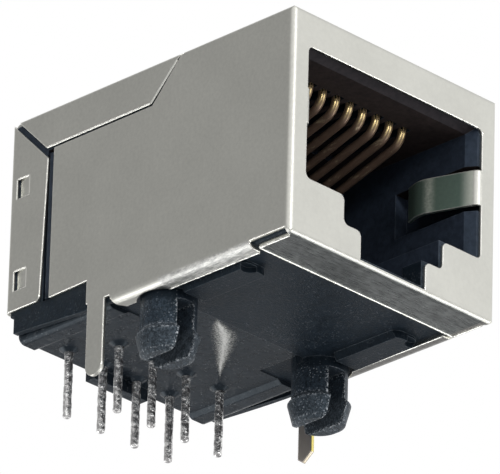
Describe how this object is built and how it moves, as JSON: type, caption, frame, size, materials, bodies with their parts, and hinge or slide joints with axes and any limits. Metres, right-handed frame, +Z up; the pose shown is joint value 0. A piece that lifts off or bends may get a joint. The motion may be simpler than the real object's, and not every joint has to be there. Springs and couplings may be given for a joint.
{
  "type": "shielded modular board jack",
  "caption": "Shielded modular network jack that snaps and solders to a circuit board, with wire contacts, a latch notch and its magnetics inside.",
  "frame": {"origin": "the point on the board's surface midway between the two snap-in pegs", "axes": "+X across the jack to the right seen from the plug side, +Y from the plug face to the rear, +Z up from the board"},
  "size_m": [0.0156, 0.0214, 0.0172],
  "materials": {
    "plated_sheet": "nickel-plated brass sheet, satin, bare at the cut edges",
    "black_moulding": "black glass-filled moulding, slightly grained",
    "glossy_moulding": "black moulding, glossy",
    "gold_wire": "gold-plated phosphor bronze, polished",
    "tinned_wire": "solder-dipped copper-clad wire, uneven",
    "board_laminate": "green solder mask",
    "ferrite": "sintered ferrite, dull",
    "transformer_wire": "enamelled copper",
    "choke_wire": "green enamelled copper",
    "resistor_body": "glazed ceramic",
    "capacitor_body": "ceramic",
    "resin": "black epoxy resin"
  },
  "bodies": {
    "root": {"shield": "plated_sheet", "housing": "black_moulding", "contact_carrier": "black_moulding", "contact_1": "gold_wire", "contact_2": "gold_wire", "contact_3": "gold_wire", "contact_4": "gold_wire", "contact_5": "gold_wire", "contact_6": "gold_wire", "contact_7": "gold_wire", "contact_8": "gold_wire", "pin_base": "glossy_moulding", "pin_1": "tinned_wire", "pin_2": "tinned_wire", "pin_3": "tinned_wire", "pin_4": "tinned_wire", "pin_5": "tinned_wire", "pin_6": "tinned_wire", "pin_7": "tinned_wire", "pin_8": "tinned_wire", "circuit_board": "board_laminate", "transmit_core": "ferrite", "transmit_winding": "transformer_wire", "transmit_choke_core": "ferrite", "transmit_choke_winding": "choke_wire", "receive_core": "ferrite", "receive_winding": "transformer_wire", "receive_choke_core": "ferrite", "receive_choke_winding": "choke_wire", "termination_resistor_1": "resistor_body", "termination_resistor_2": "resistor_body", "termination_resistor_3": "resistor_body", "termination_resistor_4": "resistor_body", "isolation_capacitor": "capacitor_body", "potting": "resin"}
  },
  "joints": []
}
